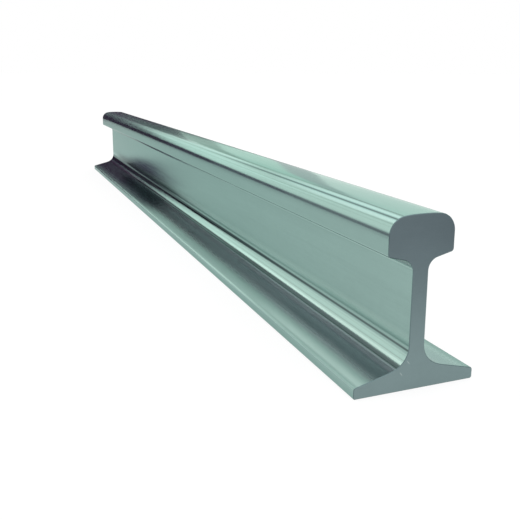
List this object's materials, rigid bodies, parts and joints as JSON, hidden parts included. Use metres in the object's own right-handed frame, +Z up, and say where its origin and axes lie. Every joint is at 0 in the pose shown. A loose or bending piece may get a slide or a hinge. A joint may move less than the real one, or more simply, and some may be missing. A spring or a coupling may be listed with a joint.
{
  "type": "railway rail section",
  "caption": "Cut length of flat-bottom railway rail in rolled steel: rounded head, thin upright web and wide sloped foot, with plain saw-cut ends.",
  "frame": {"origin": "centre of the rail's length, on the underside of the foot, under the middle of the web", "axes": "+X along the rail, +Y across it, +Z up through the web to the running surface of the head"},
  "size_m": [1.5, 0.125, 0.161],
  "materials": {
    "rolled_steel": "clean as-rolled steel, satin, cool grey-green, with bright streaks along the head corner and the foot fillet"
  },
  "bodies": {
    "root": {"rail": "rolled_steel"}
  },
  "joints": []
}
